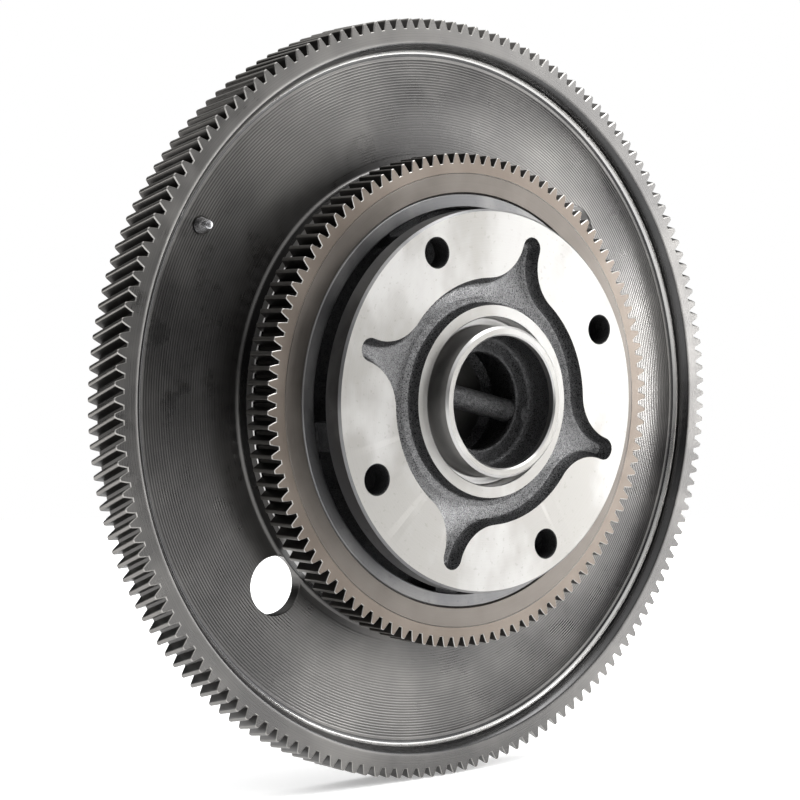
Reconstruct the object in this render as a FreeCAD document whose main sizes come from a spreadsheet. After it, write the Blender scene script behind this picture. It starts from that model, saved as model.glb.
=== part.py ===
"""Engine flywheel: a turned disc with helical rim teeth, a shrunk-on starter ring gear
and a cast output hub bolted to its front.

Millimetres.  The crankshaft axis is Y, the output hub looks toward -Y and +Z is up.
The origin is the middle of the crankshaft mounting face, at the back of the disc.
"""
import FreeCAD
import Part

import math
import os

import Sketcher

# a cutting tool reaches this far past the faces it cuts through
OVERRUN = 1.0

# ---------------------------------------------------------------- driving sizes

SIZES = [
    # rim with its helical teeth
    ("tooth_module", 2.5, "normal module of both gears"),
    ("tooth_pressure", 20.0, "pressure angle, degrees"),
    ("tooth_addendum", 1.0, "tip height over the pitch circle, in modules"),
    ("tooth_dedendum", 1.25, "root depth under the pitch circle, in modules"),
    ("rim_teeth", 165, "number of rim teeth"),
    ("rim_helix", 18.6, "helix angle of the rim teeth, degrees, left hand"),
    ("rim_width", 27.5, "face width of the rim"),
    ("rim_set", 2.5, "mounting face stands this far behind the rim"),
    ("rim_skin", 6.5, "metal between the tooth roots and the turned part of the rim"),
    # dished web
    ("mouth_wall", 8.8, "metal between the front dish mouth and the tooth roots"),
    ("dish_depth", 8.7, "front dish below the rim face"),
    ("dish_slope", 2.8, "radial run of the sloping dish wall"),
    ("dish_cove", 4.0, "radius at the foot of the dish wall"),
    ("web_thickness", 8.0, "web between the two dishes"),
    ("rear_wall", 11.5, "metal between the rear dish mouth and the tooth roots"),
    ("rear_cove", 6.0, "radius at the foot of the rear dish walls"),
    ("web_hole_circle", 151.0, "radius on which the two web holes lie"),
    ("web_hole_radius", 16.5, "radius of a web hole"),
    ("web_hole_angle", 222.1, "direction of the first web hole, degrees"),
    ("web_hole_count", 2, "number of web holes"),
    # starter ring and its seat
    ("ring_teeth", 111, "number of starter teeth"),
    ("ring_width", 20.5, "face width of the starter ring"),
    ("ring_stand", 25.6, "starter ring face in front of the rim face"),
    ("ring_wall", 5.9, "metal between the starter tooth roots and the ring bore"),
    ("ring_shoulder", 7.3, "height of the shoulder behind the starter ring"),
    ("shoulder_cove", 2.5, "radius between the shoulder and the web"),
    # disc centre
    ("seat_wall", 11.125, "metal between the hub seat and the starter ring"),
    ("centre_thickness", 25.0, "disc centre between crankshaft and output hub"),
    ("crank_pilot_radius", 50.0, "bore that centres the disc on the crankshaft"),
    ("crank_face_radius", 94.0, "outer radius of the crankshaft mounting face"),
    ("crank_bolt_circle", 70.0, "radius of the crankshaft bolt circle"),
    ("crank_bolt_count", 8, "number of crankshaft bolts"),
    ("crank_bolt_radius", 7.0, "tapping bore for M16"),
    ("crank_bolt_depth", 22.0, "depth of the tapped holes"),
    ("back_step", 3.0, "mounting face in front of the screw face"),
    ("back_radius", 127.0, "outer radius of the thick disc centre"),
    ("crank_dowel_radius", 5.0, "radius of the crankshaft dowel outside the mounting face"),
    ("crank_dowel_shank", 6.0, "radius of the crankshaft dowel inside the disc"),
    ("crank_dowel_out", 8.0, "dowel length outside the mounting face"),
    ("crank_dowel_in", 16.0, "dowel length inside the disc"),
    # output hub
    ("hub_clearance", 0.25, "radial clearance of the hub in its seat"),
    ("collar_wall", 7.95, "metal of the hub's rear collar"),
    ("collar_set", 0.1, "collar face behind the starter ring face"),
    ("plate_thickness", 16.0, "rear plate of the hub"),
    ("barrel_radius", 80.0, "barrel between the rear plate and the flange"),
    ("flange_step", 1.7, "flange edge inside the bore of the collar"),
    ("flange_thickness", 12.8, "thickness of the output flange"),
    ("flange_stand", 45.6, "flange face in front of the rim face"),
    ("flange_bolt_circle", 92.5, "radius of the flange bolt circle"),
    ("flange_bolt_radius", 8.25, "radius of a flange bolt hole"),
    ("flange_bolt_count", 4, "number of flange bolt holes"),
    ("flange_bolt_angle", 26.2, "direction of the first flange bolt hole, degrees"),
    ("lug_count", 5, "lugs between the collar and the flange"),
    ("lug_angle", 117.5, "direction of the first lug, degrees"),
    ("lug_width", 16.0, "width of a lug"),
    ("lug_inset", 7.2, "radial height of a lug under the flange edge"),
    ("lug_edge", 0.7, "lug set back from the flange edge"),
    ("lug_root", 1.0, "lug reaches this far into the collar, and stops this far behind its face"),
    ("recess_depth", 8.0, "cast recess below the flange face"),
    ("recess_radius", 70.0, "recess radius between its points"),
    ("point_reach", 91.9, "centre of the round end of a recess point"),
    ("point_round", 6.5, "radius of the round end of a recess point"),
    ("point_flank", 27.0, "hollow radius beside a recess point"),
    ("point_count", 4, "number of recess points"),
    ("point_angle", 71.2, "direction of the first recess point, degrees"),
    ("boss_radius", 55.2, "outer radius of the ring around the spigot"),
    ("boss_bore", 47.8, "inner radius of the ring around the spigot"),
    ("boss_rise", 0.4, "ring face in front of the flange face"),
    ("spigot_radius", 42.7, "outer radius of the centring spigot"),
    ("spigot_stand", 10.8, "spigot in front of the flange face"),
    ("spigot_groove", 10.0, "groove around the spigot, below the flange face"),
    ("mouth_radius", 37.4, "bore of the spigot's machined lip"),
    ("mouth_length", 4.5, "length of the machined lip"),
    ("core_radius", 38.6, "cored cavity behind the lip"),
    ("core_depth", 22.0, "inner shoulder below the spigot face"),
    ("throat_radius", 27.7, "bore through the inner shoulder"),
    ("throat_length", 4.0, "length of the throat"),
    ("chamber_radius", 33.0, "cavity behind the throat"),
    ("core_slope", 4.0, "axial run of the cavity's sloping ends"),
    ("lip_slope", 1.0, "axial run of the slope behind the lip"),
    ("bar_root", 1.0, "bar ends reach this far past the cavity wall"),
    ("bar_radius", 6.6, "cast bar across the cavity"),
    ("bar_set", 8.0, "bar axis behind the inner shoulder"),
    ("bar_angle", -13.0, "slope of the bar, degrees"),
    ("plug_radius", 28.0, "bore of the core plug at the back of the hub"),
    ("plug_depth", 8.0, "length of the core plug"),
    ("plug_wall", 2.0, "sheet thickness of the core plug"),
    # fasteners between disc and hub
    ("screw_circle", 105.0, "radius of the hub screw circle"),
    ("screw_count", 6, "number of hub screws"),
    ("screw_angle", 20.0, "direction of the first hub screw, degrees"),
    ("screw_radius", 6.0, "thread radius of a hub screw"),
    ("screw_head_radius", 9.0, "radius of a screw head"),
    ("screw_head_height", 12.0, "height of a screw head"),
    ("screw_bite", 13.0, "thread length in the hub"),
    ("screw_space", 1.0, "free depth of the threaded hole past the screw end"),
    ("end_chamfer", 1.0, "chamfer on the ends of screws and dowels"),
    ("socket_width", 10.0, "hexagon socket across flats"),
    ("socket_depth", 6.0, "depth of the hexagon socket"),
    ("screw_clearance", 0.6, "radial clearance of the screw in the disc"),
    ("thread_clearance", 0.1, "radial gap of the plain thread stand-in"),
    ("counterbore_gap", 1.0, "radial gap around a screw head"),
    ("washer_thickness", 2.0, "thickness of a lock washer"),
    ("washer_gap", 0.4, "radial gap of a washer to the screw and the counterbore"),
    ("dowel_radius", 6.0, "radius of a hub dowel"),
    ("dowel_half", 12.0, "dowel length on each side of the joint"),
    ("dowel_count", 2, "number of hub dowels"),
    ("dowel_angle", 50.0, "direction of the first hub dowel, degrees"),
    # index pin in the web
    ("pin_circle", 187.3, "radius on which the index pin lies"),
    ("pin_angle", 149.0, "direction of the index pin, degrees"),
    ("pin_shank", 4.0, "radius of the pin's shank"),
    ("pin_foot", 4.8, "radius of the cone at the web"),
    ("pin_tip", 2.3, "radius of the cone at its tip"),
    ("pin_height", 8.4, "height of the cone"),
]


class Size:
    """A number together with the sheet formula that gives it."""

    def __init__(self, value, text):
        self.value = float(value)
        self.text = text

    def join(self, sign, other, value):
        right = other.text if isinstance(other, Size) else repr(float(other))
        return Size(value, f"({self.text} {sign} {right})")

    def __add__(self, other):
        return self.join("+", other, self.value + number(other))

    def __sub__(self, other):
        return self.join("-", other, self.value - number(other))

    def __mul__(self, other):
        return self.join("*", other, self.value * number(other))

    def __truediv__(self, other):
        return self.join("/", other, self.value / number(other))

    def __neg__(self):
        return Size(-self.value, f"(0 - {self.text})")


def number(size):
    return size.value if isinstance(size, Size) else float(size)


def as_size(size):
    return size if isinstance(size, Size) else Size(size, repr(float(size)))


def cosine(angle):
    return Size(math.cos(math.radians(angle.value)), f"cos({angle.text})")


def sine(angle):
    return Size(math.sin(math.radians(angle.value)), f"sin({angle.text})")


def square_root(size):
    return Size(math.sqrt(size.value), f"sqrt({size.text})")


doc = FreeCAD.newDocument("flywheel")
sheet = doc.addObject("Spreadsheet::Sheet", "Sizes")
for row, (alias, value, meaning) in enumerate(SIZES, start=1):
    sheet.set(f"A{row}", meaning)
    sheet.set(f"B{row}", str(value))
    sheet.setAlias(f"B{row}", alias)
doc.recompute()

size = {alias: Size(getattr(sheet, alias), f"Sizes.{alias}") for alias, _, _ in SIZES}

# ---------------------------------------------------------------- derived places

rim_pitch = size["rim_teeth"] * size["tooth_module"] / (cosine(size["rim_helix"]) * 2)
rim_root = rim_pitch - size["tooth_dedendum"] * size["tooth_module"]
rim_join = rim_root - size["rim_skin"]
dish_mouth = rim_root - size["mouth_wall"]
dish_foot = dish_mouth - size["dish_slope"]
rear_mouth = rim_root - size["rear_wall"]

ring_pitch = size["ring_teeth"] * size["tooth_module"] / 2
ring_root = ring_pitch - size["tooth_dedendum"] * size["tooth_module"]
ring_bore = ring_root - size["ring_wall"]
shoulder = ring_bore + size["ring_shoulder"]
hub_seat = ring_bore - size["seat_wall"]
hub_radius = hub_seat - size["hub_clearance"]
collar_bore = hub_radius - size["collar_wall"]
flange_radius = collar_bore - size["flange_step"]

rim_back = -size["rim_set"]
rim_front = rim_back - size["rim_width"]
web_front = rim_front + size["dish_depth"]
web_back = web_front + size["web_thickness"]
ring_front = rim_front - size["ring_stand"]
ring_back = ring_front + size["ring_width"]
screw_face = -size["back_step"]
joint = -size["centre_thickness"]

collar_face = ring_front + size["collar_set"]
plate_front = joint - size["plate_thickness"]
flange_front = rim_front - size["flange_stand"]
flange_back = flange_front + size["flange_thickness"]
recess_floor = flange_front + size["recess_depth"]
boss_face = flange_front - size["boss_rise"]
groove_floor = flange_front + size["spigot_groove"]
spigot_face = flange_front - size["spigot_stand"]
lip_end = spigot_face + size["mouth_length"]
inner_shoulder = spigot_face + size["core_depth"]
throat_end = inner_shoulder + size["throat_length"]
plug_seat = joint - size["plug_depth"]
bar_axis = inner_shoulder + size["bar_set"]

head_seat = screw_face - size["screw_head_height"]
washer_seat = head_seat - size["washer_thickness"]
counterbore = size["screw_head_radius"] + size["counterbore_gap"]
screw_end = joint - size["screw_bite"]
dowel_turn = Size(180.0, "180.0") / size["crank_bolt_count"]

# ---------------------------------------------------------------- sketch helpers


def origin_plane(body, role):
    for feature in body.Origin.OriginFeatures:
        if feature.Role == role:
            return feature
    raise ValueError(role)


def new_sketch(body, name, role, lift=0.0, turn=0.0):
    """A sketch on an origin plane, lifted along the plane's normal and turned in it."""
    sketch = body.newObject("Sketcher::SketchObject", name)
    sketch.AttachmentSupport = [(origin_plane(body, role), "")]
    sketch.MapMode = "FlatFace"
    if lift:
        sketch.setExpression("AttachmentOffset.Base.z", as_size(lift).text)
    if turn:
        sketch.setExpression("AttachmentOffset.Rotation.Angle", as_size(turn).text)
    return sketch


def pin_vertex(sketch, edge, vertex, across, along):
    """Fix one vertex at (across, along) from the sketch origin by two driven sizes."""
    for kind, length in (("DistanceX", across), ("DistanceY", along)):
        length = as_size(length)
        index = sketch.addConstraint(Sketcher.Constraint(kind, -1, 1, edge, vertex, length.value))
        sketch.setExpression(f"Constraints[{index}]", length.text)


def arc_centre(start, end, radius, turn):
    """Centre of the arc from start to end; turn is +1 for counterclockwise, -1 for clockwise."""
    half = (end - start) * 0.5
    height = math.sqrt(max(radius ** 2 - half.Length ** 2, 0.0))
    side = FreeCAD.Vector(-half.y, half.x, 0).normalize()
    return start + half + side * height * turn


def draw_edge(sketch, corner, start, end):
    """Add the edge that leaves a corner; the numbers of its start and end vertex come back."""
    if len(corner) == 2:
        return sketch.addGeometry(Part.LineSegment(start, end)), 1, 2
    radius, turn = corner[2], corner[3]
    centre = arc_centre(start, end, number(radius), turn)
    first, last = (start, end) if turn > 0 else (end, start)
    angles = [math.atan2(place.y - centre.y, place.x - centre.x) for place in (first, last)]
    if angles[1] < angles[0]:
        angles[1] += 2 * math.pi
    whole = Part.Circle(centre, FreeCAD.Vector(0, 0, 1), number(radius))
    edge = sketch.addGeometry(Part.ArcOfCircle(whole, angles[0], angles[1]))
    fix_radius(sketch, edge, radius)
    return (edge, 1, 2) if turn > 0 else (edge, 2, 1)


def fix_radius(sketch, edge, radius):
    index = sketch.addConstraint(Sketcher.Constraint("Radius", edge, number(radius)))
    sketch.setExpression(f"Constraints[{index}]", as_size(radius).text)


def outline(sketch, corners):
    """Closed outline.  A corner is (across, along), or (across, along, radius, turn) when
    an arc of that radius leads to the next corner."""
    places = [FreeCAD.Vector(number(corner[0]), number(corner[1]), 0) for corner in corners]
    edges = []
    for corner, start, end in zip(corners, places, places[1:] + places[:1]):
        edges.append(draw_edge(sketch, corner, start, end))
        pin_vertex(sketch, edges[-1][0], edges[-1][1], corner[0], corner[1])
    for (edge, _, ends_at), (next_edge, starts_at, _) in zip(edges, edges[1:] + edges[:1]):
        sketch.addConstraint(Sketcher.Constraint("Coincident", edge, ends_at, next_edge, starts_at))


def circle(sketch, across, along, radius):
    centre = FreeCAD.Vector(number(across), number(along), 0)
    edge = sketch.addGeometry(Part.Circle(centre, FreeCAD.Vector(0, 0, 1), number(radius)))
    pin_vertex(sketch, edge, 3, across, along)
    fix_radius(sketch, edge, radius)


def turned(name, corners):
    """A body turned about the Y axis; a corner is (radius, place along Y)."""
    body = doc.addObject("PartDesign::Body", name)
    sketch = new_sketch(body, f"{name}_section", "XY_Plane")
    outline(sketch, corners)
    turning = body.newObject("PartDesign::Revolution", f"{name}_turning")
    turning.Profile = sketch
    turning.ReferenceAxis = (sketch, ["V_Axis"])
    turning.Angle = 360
    body.Tip = turning
    doc.recompute()
    return body


def around_axis(body, feature, count):
    """Repeat a feature evenly about the Y axis."""
    pattern = body.newObject("PartDesign::PolarPattern", f"{feature.Name}_pattern")
    pattern.Originals = [feature]
    pattern.Axis = (origin_plane(body, "Y_Axis"), [""])
    pattern.Angle = 360
    pattern.setExpression("Occurrences", as_size(count).text)
    body.Tip = pattern
    doc.recompute()


def pocket(body, name, draw, start, depth, count=1, turn=0.0):
    """Cut the outline made by draw, from y = start, depth further back, count times."""
    before = body.Shape.Volume
    sketch = new_sketch(body, f"{name}_outline", "XZ_Plane", -start, turn)
    draw(sketch)
    cut = body.newObject("PartDesign::Pocket", name)
    cut.Profile = sketch
    cut.setExpression("Length", as_size(depth).text)
    body.Tip = cut
    doc.recompute()
    if number(count) > 1:
        around_axis(body, cut, count)
    if not body.Shape.Volume < before - 1.0:
        raise RuntimeError(f"{name} cuts nothing")


def drill(body, name, across, along, radius, start, depth, count=1, turn=0.0):
    pocket(body, name, lambda sketch: circle(sketch, across, along, radius), start, depth, count, turn)


def grow(body, name, draw, start, depth, count, turn):
    """Add the outline made by draw, from y = start, depth further to the front, count times."""
    sketch = new_sketch(body, f"{name}_outline", "XZ_Plane", -start, turn)
    draw(sketch)
    pad = body.newObject("PartDesign::Pad", name)
    pad.Profile = sketch
    pad.setExpression("Length", as_size(depth).text)
    body.Tip = pad
    doc.recompute()
    around_axis(body, pad, count)


def rectangle(sketch, low, high, half_width):
    """Rectangle between two radii on the sketch's X axis."""
    corners = [(low, -half_width), (high, -half_width), (high, half_width), (low, half_width)]
    outline(sketch, corners)


def stored_shape(name, shape):
    feature = doc.addObject("Part::Feature", name)
    feature.Shape = shape
    return feature


# ---------------------------------------------------------------- gear teeth


def tooth_flank(teeth, transverse_module, pressure, addendum, dedendum, steps=3):
    """(radius, half angle) from the root to the tip of an involute tooth."""
    pitch = teeth * transverse_module / 2
    base = pitch * math.cos(pressure)
    involute = math.tan(pressure) - pressure
    flank = []
    for step in range(steps + 1):
        radius = pitch - dedendum + (addendum + dedendum) * step / steps
        roll = math.acos(min(base / radius, 1.0))
        half = math.pi / (2 * teeth) + involute - (math.tan(roll) - roll)
        flank.append((radius, half))
    return flank


def smooth_edge(points):
    curve = Part.BSplineCurve()
    curve.interpolate(points)
    return curve.toShape()


def toothed_outline(teeth, flank, place, phase):
    """Closed wire of all teeth in the plane y = place, its first tooth at the angle phase."""

    def point(radius, angle):
        return FreeCAD.Vector(radius * math.cos(angle), place, radius * math.sin(angle))

    edges = []
    pitch_angle = 2 * math.pi / teeth
    root, root_half = flank[0]
    tip = flank[-1][0]
    for tooth in range(teeth):
        middle = phase + tooth * pitch_angle
        rising = [point(radius, middle - half) for radius, half in flank]
        falling = [point(radius, middle + half) for radius, half in reversed(flank)]
        gap_end = middle + pitch_angle - root_half
        gap_middle = (middle + root_half + gap_end) / 2
        edges.append(smooth_edge(rising))
        edges.append(Part.Arc(rising[-1], point(tip, middle), falling[0]).toShape())
        edges.append(smooth_edge(falling))
        edges.append(Part.Arc(falling[-1], point(root, gap_middle), point(root, gap_end)).toShape())
    return Part.Wire(edges)


def make_rim_teeth():
    """Helical teeth: the front outline is joined to the same outline turned at the back."""
    helix = math.radians(number(size["rim_helix"]))
    module = number(size["tooth_module"])
    teeth = int(number(size["rim_teeth"]))
    pressure = math.atan(math.tan(math.radians(number(size["tooth_pressure"]))) / math.cos(helix))
    addendum = module * number(size["tooth_addendum"])
    dedendum = module * number(size["tooth_dedendum"])
    flank = tooth_flank(teeth, module / math.cos(helix), pressure, addendum, dedendum)
    twist = number(size["rim_width"]) * math.tan(helix) / number(rim_pitch)
    front = stored_shape("rim_outline_front", toothed_outline(teeth, flank, number(rim_front), 0.0))
    back = stored_shape("rim_outline_back", toothed_outline(teeth, flank, number(rim_back), twist))
    blank = doc.addObject("Part::Loft", "rim_blank")
    blank.Sections = [front, back]
    blank.Solid = True
    blank.Ruled = True
    core = along_axis("rim_core", rim_join, rim_front - OVERRUN, size["rim_width"] + 2 * OVERRUN)
    return cut_away("rim_ring", blank, core)


def make_ring_teeth():
    module = number(size["tooth_module"])
    teeth = int(number(size["ring_teeth"]))
    pressure = math.radians(number(size["tooth_pressure"]))
    addendum = module * number(size["tooth_addendum"])
    dedendum = module * number(size["tooth_dedendum"])
    flank = tooth_flank(teeth, module, pressure, addendum, dedendum)
    section = stored_shape("ring_outline", toothed_outline(teeth, flank, number(ring_front), 0.0))
    blank = doc.addObject("Part::Extrusion", "ring_blank")
    blank.Base = section
    blank.Dir = FreeCAD.Vector(0, 1, 0)
    blank.DirMode = "Custom"
    blank.setExpression("LengthFwd", size["ring_width"].text)
    blank.Solid = True
    return blank


def along_axis(name, radius, start, length, across=0.0, along=0.0):
    """Cylinder parallel to the Y axis, from y = start toward +Y."""
    cylinder = doc.addObject("Part::Cylinder", name)
    cylinder.setExpression("Radius", as_size(radius).text)
    cylinder.setExpression("Height", as_size(length).text)
    cylinder.Placement = FreeCAD.Placement(
        FreeCAD.Vector(number(across), number(start), number(along)),
        FreeCAD.Rotation(FreeCAD.Vector(1, 0, 0), -90),
    )
    cylinder.setExpression("Placement.Base.x", as_size(across).text)
    cylinder.setExpression("Placement.Base.y", as_size(start).text)
    cylinder.setExpression("Placement.Base.z", as_size(along).text)
    return cylinder


def cut_away(name, base, tool):
    cut = doc.addObject("Part::Cut", name)
    cut.Base = base
    cut.Tool = tool
    return cut


# ---------------------------------------------------------------- flywheel disc


def make_disc():
    centre = turned("disc_turned", [
        (size["crank_pilot_radius"], 0.0),
        (size["crank_face_radius"], 0.0),
        (size["crank_face_radius"], screw_face),
        (size["back_radius"], screw_face),
        (size["back_radius"], web_back + size["rear_cove"], size["rear_cove"], +1),
        (size["back_radius"] + size["rear_cove"], web_back),
        (rear_mouth - size["rear_cove"], web_back, size["rear_cove"], +1),
        (rear_mouth, web_back + size["rear_cove"]),
        (rear_mouth, rim_back),
        (rim_join, rim_back),
        (rim_join, rim_front),
        (dish_mouth, rim_front),
        (dish_foot, web_front - size["dish_cove"], size["dish_cove"], +1),
        (dish_foot - size["dish_cove"], web_front),
        (shoulder + size["shoulder_cove"], web_front, size["shoulder_cove"], +1),
        (shoulder, web_front - size["shoulder_cove"]),
        (shoulder, ring_back),
        (ring_bore, ring_back),
        (ring_bore, ring_front),
        (hub_seat, ring_front),
        (hub_seat, joint),
        (size["crank_pilot_radius"], joint),
    ])
    drill(centre, "web_holes", size["web_hole_circle"], 0.0, size["web_hole_radius"],
          web_front - OVERRUN, size["web_thickness"] + 2 * OVERRUN,
          size["web_hole_count"], size["web_hole_angle"])
    drill(centre, "crank_bolt_holes", size["crank_bolt_circle"], 0.0, size["crank_bolt_radius"],
          -size["crank_bolt_depth"], size["crank_bolt_depth"], size["crank_bolt_count"])
    drill(centre, "crank_dowel_hole", size["crank_bolt_circle"], 0.0, size["crank_dowel_shank"],
          -size["crank_dowel_in"], size["crank_dowel_in"], 1, dowel_turn)
    drill(centre, "screw_counterbores", size["screw_circle"], 0.0, counterbore,
          washer_seat, screw_face - washer_seat, size["screw_count"], size["screw_angle"])
    drill(centre, "screw_holes", size["screw_circle"], 0.0,
          size["screw_radius"] + size["screw_clearance"],
          joint, washer_seat - joint, size["screw_count"], size["screw_angle"])
    drill(centre, "dowel_holes", size["screw_circle"], 0.0, size["dowel_radius"],
          joint, size["dowel_half"], size["dowel_count"], size["dowel_angle"])
    drill(centre, "pin_hole", size["pin_circle"], 0.0, size["pin_shank"],
          web_front - OVERRUN, size["web_thickness"] + 2 * OVERRUN, 1, size["pin_angle"])
    disc = doc.addObject("Part::MultiFuse", "flywheel_disc")
    disc.Shapes = [make_rim_teeth(), centre]
    disc.Refine = True
    return disc


def make_starter_ring():
    core = along_axis("ring_core", ring_bore, ring_front - OVERRUN, size["ring_width"] + 2 * OVERRUN)
    return cut_away("starter_ring_gear", make_ring_teeth(), core)


# ---------------------------------------------------------------- output hub


def draw_recess_point(sketch):
    """One point of the cast recess: hollow flanks run tangent into its round end."""
    valley = size["recess_radius"]
    reach = size["point_reach"]
    flank_centre = valley + size["point_flank"]
    both = size["point_flank"] + size["point_round"]
    cos_turn = (flank_centre * flank_centre + reach * reach - both * both) / (flank_centre * reach * 2)
    sin_turn = square_root(Size(1.0, "1") - cos_turn * cos_turn)
    share = size["point_round"] / both
    near = (valley * cos_turn, valley * sin_turn)
    far = (reach + (flank_centre * cos_turn - reach) * share, flank_centre * sin_turn * share)
    outline(sketch, [
        (near[0], -near[1], size["point_flank"], -1),
        (far[0], -far[1], size["point_round"], +1),
        (far[0], far[1], size["point_flank"], -1),
        (near[0], near[1]),
    ])


def make_hub():
    slope = size["core_slope"]
    hub = turned("output_hub", [
        (size["plug_radius"], joint),
        (hub_radius, joint),
        (hub_radius, collar_face),
        (collar_bore, collar_face),
        (collar_bore, plate_front),
        (size["barrel_radius"], plate_front),
        (size["barrel_radius"], flange_back),
        (flange_radius, flange_back),
        (flange_radius, flange_front),
        (size["recess_radius"], flange_front),
        (size["recess_radius"], recess_floor),
        (size["boss_radius"], recess_floor),
        (size["boss_radius"], boss_face),
        (size["boss_bore"], boss_face),
        (size["boss_bore"], groove_floor),
        (size["spigot_radius"], groove_floor),
        (size["spigot_radius"], spigot_face),
        (size["mouth_radius"], spigot_face),
        (size["mouth_radius"], lip_end),
        (size["core_radius"], lip_end + size["lip_slope"]),
        (size["core_radius"], inner_shoulder - slope),
        (size["core_radius"] - slope / 2, inner_shoulder),
        (size["throat_radius"], inner_shoulder),
        (size["throat_radius"], throat_end),
        (size["chamber_radius"], throat_end + slope),
        (size["chamber_radius"], plug_seat - slope),
        (size["plug_radius"], plug_seat),
    ])
    pocket(hub, "recess_points", draw_recess_point, flange_front, size["recess_depth"],
           size["point_count"], size["point_angle"])
    drill(hub, "flange_bolt_holes", size["flange_bolt_circle"], 0.0, size["flange_bolt_radius"],
          flange_front, size["flange_thickness"], size["flange_bolt_count"], size["flange_bolt_angle"])
    under_flange = flange_radius - size["lug_inset"]
    lug_top = flange_radius - size["lug_edge"]
    collar_reach = collar_bore + size["lug_root"]
    grow(hub, "flange_lugs",
         lambda sketch: rectangle(sketch, under_flange, lug_top, size["lug_width"] / 2),
         plate_front, plate_front - flange_back, size["lug_count"], size["lug_angle"])
    grow(hub, "collar_lugs",
         lambda sketch: rectangle(sketch, under_flange, collar_reach, size["lug_width"] / 2),
         plate_front, plate_front - collar_face - size["lug_root"], size["lug_count"], size["lug_angle"])
    drill(hub, "screw_threads", size["screw_circle"], 0.0,
          size["screw_radius"] + size["thread_clearance"],
          screw_end - size["screw_space"], joint - screw_end + size["screw_space"],
          size["screw_count"], size["screw_angle"])
    drill(hub, "hub_dowel_holes", size["screw_circle"], 0.0, size["dowel_radius"],
          joint - size["dowel_half"], size["dowel_half"], size["dowel_count"], size["dowel_angle"])
    add_cross_bar(hub)
    return hub


def add_cross_bar(hub):
    """A round bar cast across the cavity, a little past its wall at both ends."""
    sketch = new_sketch(hub, "bar_section", "YZ_Plane")
    circle(sketch, bar_axis, 0.0, size["bar_radius"])
    tilt = FreeCAD.Rotation(FreeCAD.Vector(1, 0, 0), -number(size["bar_angle"]))
    sketch.AttachmentOffset = FreeCAD.Placement(FreeCAD.Vector(0, 0, 0), tilt)
    sketch.setExpression("AttachmentOffset.Rotation.Angle", (-size["bar_angle"]).text)
    bar = hub.newObject("PartDesign::Pad", "cross_bar")
    bar.Profile = sketch
    bar.SideType = "Symmetric"
    bar.setExpression("Length", (size["chamber_radius"] * 2 + size["bar_root"] * 2).text)
    hub.Tip = bar
    doc.recompute()


def make_core_plug():
    """A pressed cup, open toward the crankshaft."""
    radius, wall = size["plug_radius"], size["plug_wall"]
    return turned("core_plug", [
        (0.0, plug_seat),
        (radius, plug_seat),
        (radius, joint),
        (radius - wall, joint),
        (radius - wall, plug_seat + wall),
        (0.0, plug_seat + wall),
    ])


# ---------------------------------------------------------------- fasteners and pins


def ring_of(name, piece, radius, count, first_angle):
    """Copies of a piece that was drawn on the Y axis, set evenly on a circle."""
    copies = []
    for index in range(int(number(count))):
        angle = math.radians(number(first_angle) + 360.0 * index / number(count))
        copy = piece.Shape.copy()
        copy.translate(FreeCAD.Vector(math.cos(angle), 0, math.sin(angle)) * number(radius))
        copies.append(copy)
    return stored_shape(name, Part.makeCompound(copies))


def draw_hexagon(sketch):
    """Hexagon socket with two corners on the sketch's X axis."""
    corner = size["socket_width"] / (cosine(Size(30.0, "30")) * 2)
    turns = [Size(60.0 * index, str(60 * index)) for index in range(6)]
    outline(sketch, [(corner * cosine(turn), corner * sine(turn)) for turn in turns])


def make_hub_screws():
    """Socket head screws, put in from the back of the disc."""
    chamfer = size["end_chamfer"]
    screw = turned("hub_screw", [
        (0.0, screw_end),
        (size["screw_radius"] - chamfer, screw_end),
        (size["screw_radius"], screw_end + chamfer),
        (size["screw_radius"], head_seat),
        (size["screw_head_radius"], head_seat),
        (size["screw_head_radius"], screw_face - chamfer),
        (size["screw_head_radius"] - chamfer, screw_face),
        (0.0, screw_face),
    ])
    pocket(screw, "screw_socket", draw_hexagon, screw_face - size["socket_depth"], size["socket_depth"])
    return ring_of("hub_screws", screw, size["screw_circle"], size["screw_count"], size["screw_angle"])


def make_lock_washers():
    washer = turned("lock_washer", [
        (size["screw_radius"] + size["washer_gap"], washer_seat),
        (counterbore - size["washer_gap"], washer_seat),
        (counterbore - size["washer_gap"], head_seat),
        (size["screw_radius"] + size["washer_gap"], head_seat),
    ])
    return ring_of("lock_washers", washer, size["screw_circle"], size["screw_count"], size["screw_angle"])


def dowel(name, radius, start, end):
    """Plain dowel with chamfered ends."""
    chamfer = size["end_chamfer"]
    return turned(name, [
        (0.0, start),
        (radius - chamfer, start),
        (radius, start + chamfer),
        (radius, end - chamfer),
        (radius - chamfer, end),
        (0.0, end),
    ])


def make_hub_dowels():
    pin = dowel("hub_dowel", size["dowel_radius"], joint - size["dowel_half"], joint + size["dowel_half"])
    return ring_of("hub_dowels", pin, size["screw_circle"], size["dowel_count"], size["dowel_angle"])


def set_on_circle(body, radius, angle):
    """Move a body that was drawn on the Y axis out to a place on a circle."""
    body.setExpression("Placement.Base.x", (radius * cosine(angle)).text)
    body.setExpression("Placement.Base.z", (radius * sine(angle)).text)
    return body


def make_crank_dowel():
    """Stepped dowel: the thick end is pressed into the disc, flush with the mounting face."""
    chamfer = size["end_chamfer"]
    radius, shank, bottom, end = (
        size["crank_dowel_radius"], size["crank_dowel_shank"], -size["crank_dowel_in"], size["crank_dowel_out"]
    )
    pin = turned("crank_dowel", [
        (0.0, bottom),
        (shank - chamfer, bottom),
        (shank, bottom + chamfer),
        (shank, 0.0),
        (radius, 0.0),
        (radius, end - chamfer),
        (radius - chamfer, end),
        (0.0, end),
    ])
    return set_on_circle(pin, size["crank_bolt_circle"], dowel_turn)


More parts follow.
